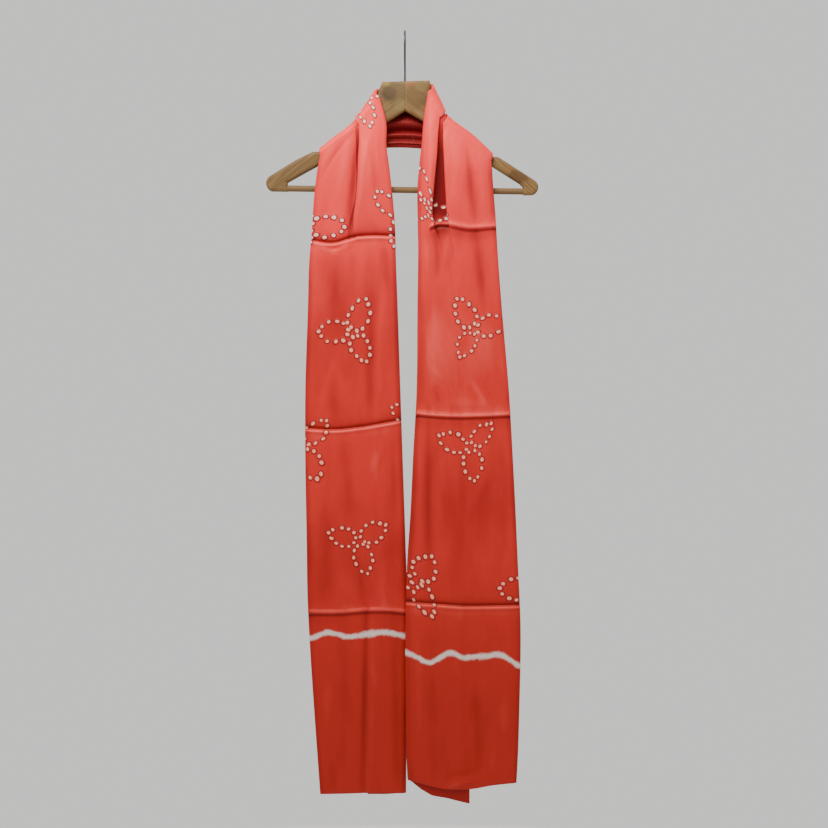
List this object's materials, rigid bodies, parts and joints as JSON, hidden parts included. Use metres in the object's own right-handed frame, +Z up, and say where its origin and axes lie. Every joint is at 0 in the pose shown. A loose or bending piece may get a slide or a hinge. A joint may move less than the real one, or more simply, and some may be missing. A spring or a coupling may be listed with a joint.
{
  "type": "dupatta stole on a coat hanger",
  "caption": "Satin stole folded lengthwise into a narrow band and hung scarf-like round the neck of a wooden coat hanger with a trouser bar and a wire hook.",
  "frame": {"origin": "top of the hook's inside, where the hook rests on a rod", "axes": "+Z up, +X to the right seen from the front, the front of the stole faces -Y; the hook opens in the YZ plane, for a rod along X"},
  "size_m": [0.449, 0.0539, 1.2701],
  "materials": {
    "satin": "tie-dyed coral satin with white resist dots and a resist band near each end",
    "hanger_wood": "plain planed wood, lightly varnished",
    "hook_wire": "drawn steel wire"
  },
  "bodies": {
    "root": {"front_left": "satin", "front_right": "satin", "neck_back": "satin", "hem_left": "satin", "hem_right": "satin", "hanger_arm_left": "hanger_wood", "hanger_arm_right": "hanger_wood", "trouser_bar": "hanger_wood", "hook": "hook_wire"}
  },
  "joints": []
}
